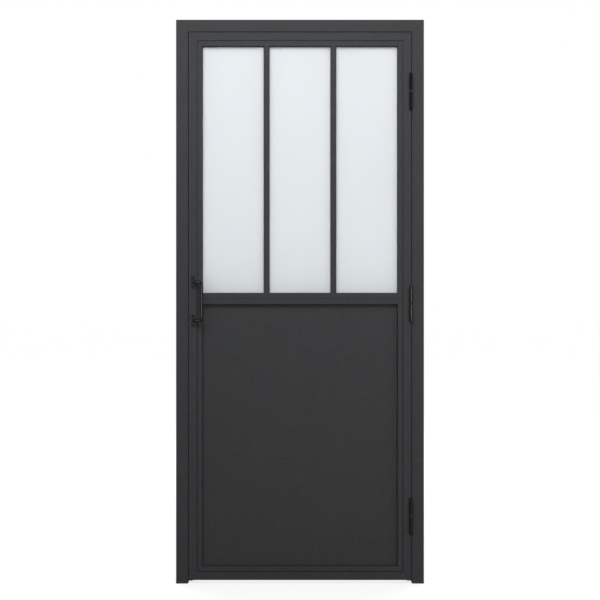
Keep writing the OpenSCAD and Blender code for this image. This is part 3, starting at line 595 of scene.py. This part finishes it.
class GeometryTree:
    """Geometry node tree with named inputs, run once and turned into a plain mesh."""

    crease = math.radians(32.0)

    def __init__(self, name: str, sizes: dict[str, float | int], finish: bpy.types.Material) -> None:
        """Makes the tree with its sockets.

        Args:
            name: Name of the tree.
            sizes: Value of each numbered input, by name; a whole number makes a whole-number input.
            finish: Material of the finished piece.
        """
        self.group = bpy.data.node_groups.new(name, "GeometryNodeTree")
        self.values: dict[str, Any] = {}
        self._socket("Geometry", "INPUT", "NodeSocketGeometry")
        for label, value in sizes.items():
            kind = "NodeSocketInt" if isinstance(value, int) else "NodeSocketFloat"
            self.values[self._socket(label, "INPUT", kind)] = value
        self.values[self._socket("Finish", "INPUT", "NodeSocketMaterial")] = finish
        self._socket("Geometry", "OUTPUT", "NodeSocketGeometry")
        self.tree = NodeTree(self.group)
        self.given = self.tree.node("NodeGroupInput")

    def _socket(self, label: str, side: str, kind: str) -> str:
        """Adds a socket to the tree's interface and gives its identifier."""
        return self.group.interface.new_socket(label, in_out=side, socket_type=kind).identifier

    def lifted(self, geometry: Wire, up: "Wire | float") -> Wire:
        """Geometry moved along Z."""
        offset = self.tree.node("ShaderNodeCombineXYZ", None, {"Z": up})
        return self.tree.node("GeometryNodeTransform", None, {"Geometry": geometry, "Translation": offset})

    def rod(self, sides: int, radius: Wire, length: Wire, up: "Wire | float") -> Wire:
        """Makes a rod along Z.

        Args:
            sides: Number of its sides.
            radius: Its radius.
            length: Its length.
            up: Height of its middle.

        Returns:
            The rod's mesh.
        """
        sizes = {"Vertices": sides, "Radius": radius, "Depth": length}
        return self.lifted(self.tree.node("GeometryNodeMeshCylinder", None, sizes), up)

    def run(self, made: Wire, name: str, seed_mesh: bpy.types.Mesh) -> bpy.types.Object:
        """Closes the tree, evaluates it and keeps the result as a plain mesh.

        Args:
            made: The instances or mesh that the tree makes.
            name: Name of the finished piece.
            seed_mesh: Mesh that the tree starts from.

        Returns:
            The finished piece, at the origin.
        """
        tree = self.tree
        mesh_in, smooth_in = 0, 2
        whole = tree.node("GeometryNodeRealizeInstances", None, {"Geometry": made})
        smooth = tree.node(
            "GeometryNodeSetShadeSmooth", {"domain": "FACE"}, {mesh_in: whole, smooth_in: True}
        )
        angle = tree.node("GeometryNodeInputMeshEdgeAngle")
        soft = tree.node(
            "FunctionNodeCompare",
            {"operation": "LESS_THAN", "data_type": "FLOAT"},
            {0: angle, 1: self.crease},
        )
        shaded = tree.node(
            "GeometryNodeSetShadeSmooth", {"domain": "EDGE"}, {mesh_in: smooth, smooth_in: soft}
        )
        dressed = tree.node(
            "GeometryNodeSetMaterial", None, {"Geometry": shaded, "Material": self.given.out("Finish")}
        )
        tree.node("NodeGroupOutput", None, {"Geometry": dressed})
        piece = bpy.data.objects.new(name, seed_mesh)
        bpy.context.scene.collection.objects.link(piece)
        modifier = piece.modifiers.new("make", "NODES")
        modifier.node_group = self.group
        for identifier, value in self.values.items():
            modifier[identifier] = value
        bpy.context.view_layer.update()
        graph = bpy.context.evaluated_depsgraph_get()
        mesh = bpy.data.meshes.new_from_object(piece.evaluated_get(graph), depsgraph=graph)
        piece.modifiers.clear()
        piece.data = mesh
        mesh.name = name
        return piece


@dataclass(frozen=True)
class ScrewPlace:
    """Where a screw's head lies, and which way it looks out."""

    at: Point
    out: Point


@dataclass
class ScrewSet:
    """Screws of one kind on one body, made by Geometry Nodes on the points of their seats."""

    name: str
    body: str
    slot: Slot
    style: HeadStyle
    length: float
    seed: int
    shank_r: float = 0.0025
    shank_drop: float = 0.0001
    shank_sides: int = 16
    head_r: float = 0.0046
    head_sides: int = 24
    button_h: float = 0.00275
    dome_rings: int = 16
    dome_over: float = 1.12
    rim_cut: float = 0.985
    socket_r: float = 0.0015
    socket_depth: float = 0.0017

    def _seats(self, places: Sequence[ScrewPlace]) -> bpy.types.Mesh:
        """Makes the loose points that the screws are laid on.

        Args:
            places: Seats of the screws.

        Returns:
            Mesh with one point for each screw, and its direction as an attribute.
        """
        mesh = bpy.data.meshes.new(f"{self.name}_seats")
        mesh.from_pydata([p.at for p in places], [], [])
        looks = mesh.attributes.new("out", "FLOAT_VECTOR", "POINT")
        for item, place in zip(looks.data, places):
            item.vector = place.out
        return mesh

    def _countersunk(self, geometry: GeometryTree) -> Wire:
        """Makes a countersunk head.

        Args:
            geometry: The screws' tree.

        Returns:
            Cone with its flush face on Z = 0.
        """
        head_r, shank_r = geometry.given.out("Head Radius"), geometry.given.out("Shank Radius")
        depth = head_r - shank_r
        cone = geometry.tree.node(
            "GeometryNodeMeshCone",
            None,
            {
                "Vertices": self.head_sides,
                "Radius Top": head_r,
                "Radius Bottom": shank_r,
                "Depth": depth,
            },
        )
        return geometry.lifted(cone, depth * -1.0)

    def _button(self, geometry: GeometryTree) -> Wire:
        """Makes a button head.

        Args:
            geometry: The screws' tree.

        Returns:
            Flat-topped dome with its bearing face on Z = 0.
        """
        tree = geometry.tree
        head_r, height = geometry.given.out("Head Radius"), geometry.given.out("Button Height")
        ball = tree.node(
            "GeometryNodeMeshUVSphere",
            None,
            {"Segments": self.head_sides, "Rings": self.dome_rings, "Radius": head_r},
        )
        squat = tree.node(
            "ShaderNodeCombineXYZ", None, {"X": 1.0, "Y": 1.0, "Z": height / head_r * self.dome_over}
        )
        dome = tree.node("GeometryNodeTransform", None, {"Geometry": ball, "Scale": squat})
        block = geometry.rod(self.head_sides, head_r * self.rim_cut, height, height * 0.5)
        return tree.node("GeometryNodeMeshBoolean", {"operation": "INTERSECT"}, {1: [dome, block]})

    def _screw(self, geometry: GeometryTree) -> Wire:
        """Makes one screw that looks along Z.

        Args:
            geometry: The screws' tree.

        Returns:
            Head and shank in one mesh, with a hexagon socket.
        """
        tree, given = geometry.tree, geometry.given
        button = self.style is HeadStyle.BUTTON
        head = self._button(geometry) if button else self._countersunk(geometry)
        length = given.out("Length")
        middle = length * -0.5 - self.shank_drop
        shank = geometry.rod(self.shank_sides, given.out("Shank Radius"), length, middle)
        whole = tree.node("GeometryNodeMeshBoolean", {"operation": "UNION"}, {1: [head, shank]})
        top = given.out("Button Height") if button else 0.0
        socket = geometry.rod(
            HEXAGON_SIDES, given.out("Socket Radius"), given.out("Socket Depth") * 2.0, top
        )
        return tree.node("GeometryNodeMeshBoolean", {"operation": "DIFFERENCE"}, {0: whole, 1: [socket]})

    def _turns(self, geometry: GeometryTree) -> Wire:
        """Turns each screw to its seat, and its socket by chance.

        Args:
            geometry: The screws' tree.

        Returns:
            Rotation of each screw.
        """
        tree = geometry.tree
        low, high, number_out = 2, 3, 1
        look = tree.node("GeometryNodeInputNamedAttribute", {"data_type": "FLOAT_VECTOR"}, {"Name": "out"})
        aim = tree.node("FunctionNodeAlignRotationToVector", {"axis": "Z"}, {"Vector": look})
        turn = tree.node(
            "FunctionNodeRandomValue",
            {"data_type": "FLOAT"},
            {low: 0.0, high: HEXAGON_TURN, "Seed": geometry.given.out("Seed")},
            number_out,
        )
        spin = tree.node(
            "FunctionNodeAxisAngleToRotation", None, {"Axis": (0.0, 0.0, 1.0), "Angle": turn}
        )
        return tree.node(
            "FunctionNodeRotateRotation",
            {"rotation_space": "LOCAL"},
            {"Rotation": aim, "Rotate By": spin},
        )

    def build(self, places: Sequence[ScrewPlace], wardrobe: Wardrobe) -> None:
        """Makes the screws in place of the plain ones.

        Args:
            places: Seats of the screws.
            wardrobe: The door's materials.
        """
        sizes = {
            "Head Radius": self.head_r,
            "Button Height": self.button_h,
            "Shank Radius": self.shank_r,
            "Length": self.length,
            "Socket Radius": self.socket_r,
            "Socket Depth": self.socket_depth,
            "Seed": self.seed,
        }
        geometry = GeometryTree(f"{self.name}_tree", sizes, wardrobe.materials[self.slot])
        points = geometry.tree.node("GeometryNodeMeshToPoints", None, {"Mesh": geometry.given})
        laid = geometry.tree.node(
            "GeometryNodeInstanceOnPoints",
            None,
            {"Points": points, "Instance": self._screw(geometry), "Rotation": self._turns(geometry)},
        )
        piece = geometry.run(laid, f"{self.name}_fine", self._seats(places))
        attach(piece, self.body)
        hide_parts(self.name)
        LOG.info("%s: %d screws", piece.name, len(places))


@dataclass
class DoorFrame:
    """Jambs, head, seals and what is hidden in them."""

    strike_x: float = -0.417
    strike_z: float = 1.051
    strike_screw: float = 0.0268
    screw_length: float = 0.009
    screw_seed: int = 3

    def build(self, wardrobe: Wardrobe) -> None:
        """Dresses the frame and makes the screws of its strike plate.

        Args:
            wardrobe: The door's materials.
        """
        wardrobe.dress(Slot.COAT, "frame_jamb_hinge", "frame_jamb_latch", "frame_head")
        wardrobe.dress(Slot.CLEAT, "frame_corner_cleats")
        wardrobe.dress(Slot.GASKET, "frame_seal_hinge", "frame_seal_latch", "frame_seal_head")
        wardrobe.dress(Slot.ZINC, "frame_backing_plates", "strike_plate")
        heights = [self.strike_z + side * self.strike_screw for side in BELOW_ABOVE]
        places = [ScrewPlace((self.strike_x, 0.0, z), (1.0, 0.0, 0.0)) for z in heights]
        style = HeadStyle.COUNTERSUNK
        screws = ScrewSet("strike_screws", "frame", Slot.ZINC, style, self.screw_length, self.screw_seed)
        screws.build(places, wardrobe)


@dataclass
class Leaf:
    """Stiles, rails, glazing bars, beads, panes, panel and their gaskets."""

    rails: tuple[str, ...] = ("top", "mid", "bottom")
    sides: tuple[str, ...] = ("left", "right")
    panes: tuple[str, ...] = ("left", "middle", "right")
    edges: tuple[str, ...] = ("top", "bottom", "left", "right")

    def build(self, wardrobe: Wardrobe) -> None:
        """Dresses every piece of the leaf.

        Args:
            wardrobe: The door's materials.
        """
        wardrobe.dress(Slot.COAT, "leaf_stile_hinge", "leaf_stile_latch")
        wardrobe.dress(Slot.COAT, *(f"leaf_rail_{r}" for r in self.rails))
        wardrobe.dress(Slot.COAT, *(f"glazing_{p}_{s}" for p in ("bar", "cap") for s in self.sides))
        wardrobe.dress(Slot.COAT, *(f"{p}_bead_{e}" for p in ("glass", "panel") for e in self.edges))
        wardrobe.dress(Slot.PANEL, "lower_panel")
        wardrobe.dress(Slot.GLASS, *(f"glass_{p}" for p in self.panes))
        wardrobe.dress(Slot.GASKET, *(f"glass_gasket_{p}" for p in self.panes))
        wardrobe.dress(Slot.GASKET, "panel_gasket", "setting_blocks")
        wardrobe.dress(Slot.CLEAT, "leaf_corner_cleats")
        wardrobe.dress(Slot.ZINC, "leaf_backing_plates")


@dataclass
class PullHandles:
    """Offset pull handles on both faces, with their foot screws."""

    front_foot_x: float = -0.397
    back_foot_x: float = -0.373
    foot_face_y: float = 0.024
    middle_z: float = 1.051
    leg: float = 0.071
    screw: float = 0.0155
    screw_length: float = 0.011
    screw_seed: int = 11

    def build(self, wardrobe: Wardrobe) -> None:
        """Dresses the handles and makes their screws.

        Args:
            wardrobe: The door's materials.
        """
        wardrobe.dress(Slot.HANDLE, "handle_front", "handle_back")
        feet = [self.middle_z + side * self.leg for side in BELOW_ABOVE]
        heights = [foot + side * self.screw for foot in feet for side in BELOW_ABOVE]
        faces = ((self.front_foot_x, -1.0), (self.back_foot_x, 1.0))
        places = [
            ScrewPlace((x, out * self.foot_face_y, z), (0.0, out, 0.0)) for x, out in faces for z in heights
        ]
        style = HeadStyle.BUTTON
        screws = ScrewSet("handle_screws", "leaf", Slot.HANDLE, style, self.screw_length, self.screw_seed)
        screws.build(places, wardrobe)


@dataclass
class BarrelHinges:
    """Crowned barrel hinges, their flags and the flags' screws."""

    heights: tuple[float, ...] = (1.832, 1.042, 0.252)
    flag_x: float = 0.415
    joint_gap: float = 0.002
    barrel_low: float = 0.0045
    barrel_h: float = 0.055
    step: float = 0.0165
    deep_y: float = 0.0015
    shallow_y: float = -0.0075
    screw_length: float = 0.009
    leaf_seed: int = 17
    jamb_seed: int = 23

    def _places(self, x: float, low: float, out: float) -> list[ScrewPlace]:
        """Seats of the screws in all flags of one side.

        Args:
            x: Face of the flags.
            low: Lower end of the barrels, from the middle of their hinge.
            out: Side that the flags look to, -1 or 1.

        Returns:
            The seats, three for each flag.
        """
        middle = low + self.barrel_h / 2.0
        pattern = ((self.deep_y, -self.step), (self.shallow_y, 0.0), (self.deep_y, self.step))
        return [
            ScrewPlace((x, y, z + middle + up), (out, 0.0, 0.0)) for z in self.heights for y, up in pattern
        ]

    def build(self, wardrobe: Wardrobe) -> None:
        """Dresses the hinges and makes their screws.

        Args:
            wardrobe: The door's materials.
        """
        for place in ("top", "middle", "bottom"):
            wardrobe.dress(Slot.HINGE, f"hinge_leaf_half_{place}", f"hinge_frame_half_{place}")
        wardrobe.dress(Slot.HINGE, "hinge_leaf_caps", "hinge_frame_caps")
        wardrobe.dress(Slot.BUSH, "hinge_bushes")
        wardrobe.dress(Slot.ZINC, "hinge_pins")
        style = HeadStyle.COUNTERSUNK
        leaf = ScrewSet("hinge_leaf_screws", "leaf", Slot.ZINC, style, self.screw_length, self.leaf_seed)
        leaf.build(self._places(self.flag_x, self.barrel_low, 1.0), wardrobe)
        jamb = ScrewSet("hinge_frame_screws", "frame", Slot.ZINC, style, self.screw_length, self.jamb_seed)
        low = -self.barrel_low - self.barrel_h
        jamb.build(self._places(self.flag_x + self.joint_gap, low, -1.0), wardrobe)


@dataclass
class RollerCatch:
    """Sprung roller catch in the latch stile, with a wound spring."""

    edge_x: float = -0.415
    middle_z: float = 1.051
    screw: float = 0.035
    screw_length: float = 0.009
    screw_seed: int = 29
    spring_start: float = 0.01245
    spring_run: float = 0.0121
    coil_r: float = 0.00375
    wire_r: float = 0.00045
    turns: float = 5.0
    turn_steps: int = 28
    wire_sides: int = 10
    travel: float = 0.0055

    def _spring(self, wardrobe: Wardrobe) -> None:
        """Winds the spring round the bolt's shank.

        Args:
            wardrobe: The door's materials.
        """
        sizes = {
            "Coil Radius": self.coil_r,
            "Wire Radius": self.wire_r,
            "Run": self.spring_run,
            "Turns": self.turns,
        }
        geometry = GeometryTree("latch_spring_tree", sizes, wardrobe.materials[Slot.ZINC])
        tree, given = geometry.tree, geometry.given
        helix = tree.node(
            "GeometryNodeCurveSpiral",
            None,
            {
                "Resolution": self.turn_steps,
                "Rotations": given.out("Turns"),
                "Start Radius": given.out("Coil Radius"),
                "End Radius": given.out("Coil Radius"),
                "Height": given.out("Run"),
            },
        )
        section = tree.node(
            "GeometryNodeCurvePrimitiveCircle",
            None,
            {"Resolution": self.wire_sides, "Radius": given.out("Wire Radius")},
        )
        wire = tree.node(
            "GeometryNodeCurveToMesh", None, {"Curve": helix, "Profile Curve": section, "Fill Caps": True}
        )
        start_x = self.edge_x + self.spring_start
        laid = tree.node(
            "GeometryNodeTransform",
            None,
            {
                "Geometry": wire,
                "Translation": (start_x, 0.0, self.middle_z),
                "Rotation": (0.0, QUARTER_TURN, 0.0),
            },
        )
        piece = geometry.run(laid, "latch_spring_wound", bpy.data.meshes.new("latch_spring_seed"))
        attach(piece, "leaf")
        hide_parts("latch_spring")
        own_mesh(piece)
        LOG.info("%s: %g turns", piece.name, self.turns)

    def build(self, wardrobe: Wardrobe) -> None:
        """Dresses the catch and makes its screws and its spring.

        Args:
            wardrobe: The door's materials.
        """
        wardrobe.dress(Slot.ZINC, "latch_case", "latch_bolt", "latch_roller_pin")
        wardrobe.dress(Slot.ROLLER, "latch_roller")
        heights = [self.middle_z + side * self.screw for side in BELOW_ABOVE]
        places = [ScrewPlace((self.edge_x, 0.0, z), (-1.0, 0.0, 0.0)) for z in heights]
        style = HeadStyle.COUNTERSUNK
        screws = ScrewSet("latch_screws", "leaf", Slot.ZINC, style, self.screw_length, self.screw_seed)
        screws.build(places, wardrobe)
        self._spring(wardrobe)


@dataclass(frozen=True)
class SoftBox:
    """Rectangular studio lamp."""

    name: str
    at: Point
    aim: Point
    size: Span
    watts: float
    highlights: bool = True

    def build(self) -> None:
        """Hangs the lamp and turns it to its aim."""
        lamp = bpy.data.lights.new(self.name, "AREA")
        lamp.shape = "RECTANGLE"
        lamp.size, lamp.size_y = self.size
        lamp.energy = self.watts
        held = bpy.data.objects.new(self.name, lamp)
        held.visible_camera = False
        held.visible_transmission = False
        held.visible_glossy = self.highlights
        held.location = self.at
        held.rotation_euler = (Vector(self.aim) - Vector(self.at)).to_track_quat("-Z", "Y").to_euler()
        bpy.context.scene.collection.objects.link(held)
        LOG.info("%s: %g W", self.name, self.watts)


LAMPS = (
    SoftBox(
        "key_box", at=(-0.2, -2.0, 2.95), aim=(0.0, 0.0, 1.6), size=(2.6, 1.5), watts=80.0, highlights=False
    ),
    SoftBox("front_box", at=(1.2, -6.0, 1.06), aim=(0.0, 0.0, 1.06), size=(3.0, 1.2), watts=82.0),
    SoftBox("left_card", at=(-1.2, -6.0, 1.06), aim=(0.0, 0.0, 1.06), size=(1.2, 1.8), watts=4.0),
    SoftBox(
        "right_box", at=(1.7, -1.0, 0.9), aim=(0.3, 0.0, 0.9), size=(0.9, 0.7), watts=5.0, highlights=False
    ),
    SoftBox(
        "rear_box_left",
        at=(-2.6, 2.6, 2.3),
        aim=(0.0, 0.0, 1.1),
        size=(2.0, 1.6),
        watts=84.0,
        highlights=False,
    ),
    SoftBox(
        "rear_box_right",
        at=(2.6, 2.6, 2.3),
        aim=(0.0, 0.0, 1.1),
        size=(2.0, 1.6),
        watts=84.0,
        highlights=False,
    ),
)


@dataclass
class Studio:
    """White studio: lamps, floor, world and the camera of the photograph."""

    camera_distance: float = 3.85
    front_y: float = -0.020
    camera_z: float = 1.0559
    frame_width: float = 2.2338
    sensor: float = 36.0
    floor_half: float = 40.0
    floor_color: Color = (0.30, 0.30, 0.30)
    floor_near: float = 0.75
    floor_far: float = 0.95
    floor_fade: Span = (0.8, 4.5)
    floor_mirrored: Span = (0.0, 0.6)
    fill: float = 0.16
    front_level: float = 0.12
    front_fade: Span = (-0.3, 0.1)

    def build(self) -> None:
        """Sets up the whole studio."""
        for lamp in LAMPS:
            lamp.build()
        self._floor()
        self._world()
        self._camera()
        bpy.context.scene.view_settings.view_transform = "Standard"

    @staticmethod
    def _rays(tree: NodeTree) -> tuple[Wire, Wire]:
        """Tells kinds of rays apart.

        Args:
            tree: Node tree of the floor or the world.

        Returns:
            Share of rays that show the background, and of those that are only reflections.
        """
        path = tree.node("ShaderNodeLightPath", output="Is Camera Ray")
        shown = tree.math("MAXIMUM", path, path.out("Is Transmission Ray"))
        return shown, path.out("Is Glossy Ray") * (1.0 - shown)

    def _floor(self) -> None:
        """Lays the pale floor, which looks white and keeps the door's shadow."""
        half = self.floor_half
        corners = [(-half, -half, 0.0), (half, -half, 0.0), (half, half, 0.0), (-half, half, 0.0)]
        mesh = bpy.data.meshes.new("floor")
        mesh.from_pydata(corners, [], [(0, 1, 2, 3)])
        floor = bpy.data.objects.new("floor", mesh)
        bpy.context.scene.collection.objects.link(floor)
        material = bpy.data.materials.new("pale_floor")
        material.use_nodes = True
        tree = NodeTree(material.node_tree)
        shown, glossy = self._rays(tree)
        place = tree.object_place()
        reach = tree.node("ShaderNodeVectorMath", {"operation": "LENGTH"}, {0: place}, "Value")
        level = tree.soft_step(reach, self.floor_fade, (self.floor_near, self.floor_far))
        behind = tree.soft_step(tree.part(place, "Y"), self.floor_mirrored, (0.0, 1.0))
        matt = tree.node("ShaderNodeBsdfDiffuse", None, {"Color": (*self.floor_color, 1.0)})
        glow = tree.node("ShaderNodeEmission", None, {"Strength": (shown + glossy * behind) * level})
        both = tree.node("ShaderNodeAddShader", None, {0: matt, 1: glow})
        tree.node("ShaderNodeOutputMaterial", None, {"Surface": both})
        mesh.materials.append(material)

    def _world(self) -> None:
        """White background for camera and glass, a soft fill for matt surfaces, a studio in reflections."""
        world = bpy.data.worlds.new("white_studio")
        bpy.context.scene.world = world
        world.use_nodes = True
        tree = NodeTree(world.node_tree)
        shown, glossy = self._rays(tree)
        way = tree.node("ShaderNodeTexCoord", output="Generated")
        mirrored = tree.soft_step(tree.part(way, "Y"), self.front_fade, (self.front_level, 1.0))
        level = self.fill + shown * (1.0 - self.fill) + glossy * (mirrored - self.fill)
        sky = tree.node("ShaderNodeBackground", None, {"Color": (1.0, 1.0, 1.0, 1.0), "Strength": level})
        tree.node("ShaderNodeOutputWorld", None, {"Surface": sky})

    def _camera(self) -> None:
        """Sets the camera square to the door, at the photograph's height and distance."""
        lens = bpy.data.cameras.new("camera")
        lens.sensor_width = self.sensor
        lens.lens = self.sensor * self.camera_distance / self.frame_width
        camera = bpy.data.objects.new("camera", lens)
        camera.location = (0.0, self.front_y - self.camera_distance, self.camera_z)
        camera.rotation_euler = (QUARTER_TURN, 0.0, 0.0)
        bpy.context.scene.collection.objects.link(camera)
        bpy.context.scene.camera = camera


def main() -> None:
    """Builds the door's pieces in order, then the studio."""
    logging.basicConfig(level=logging.INFO, format="%(name)s: %(message)s")
    wardrobe = Wardrobe()
    for part in (DoorFrame(), Leaf(), PullHandles(), BarrelHinges(), RollerCatch()):
        part.build(wardrobe)
        LOG.info("%s done", type(part).__name__)
    Studio().build()


if __name__ == "__main__":
    main()
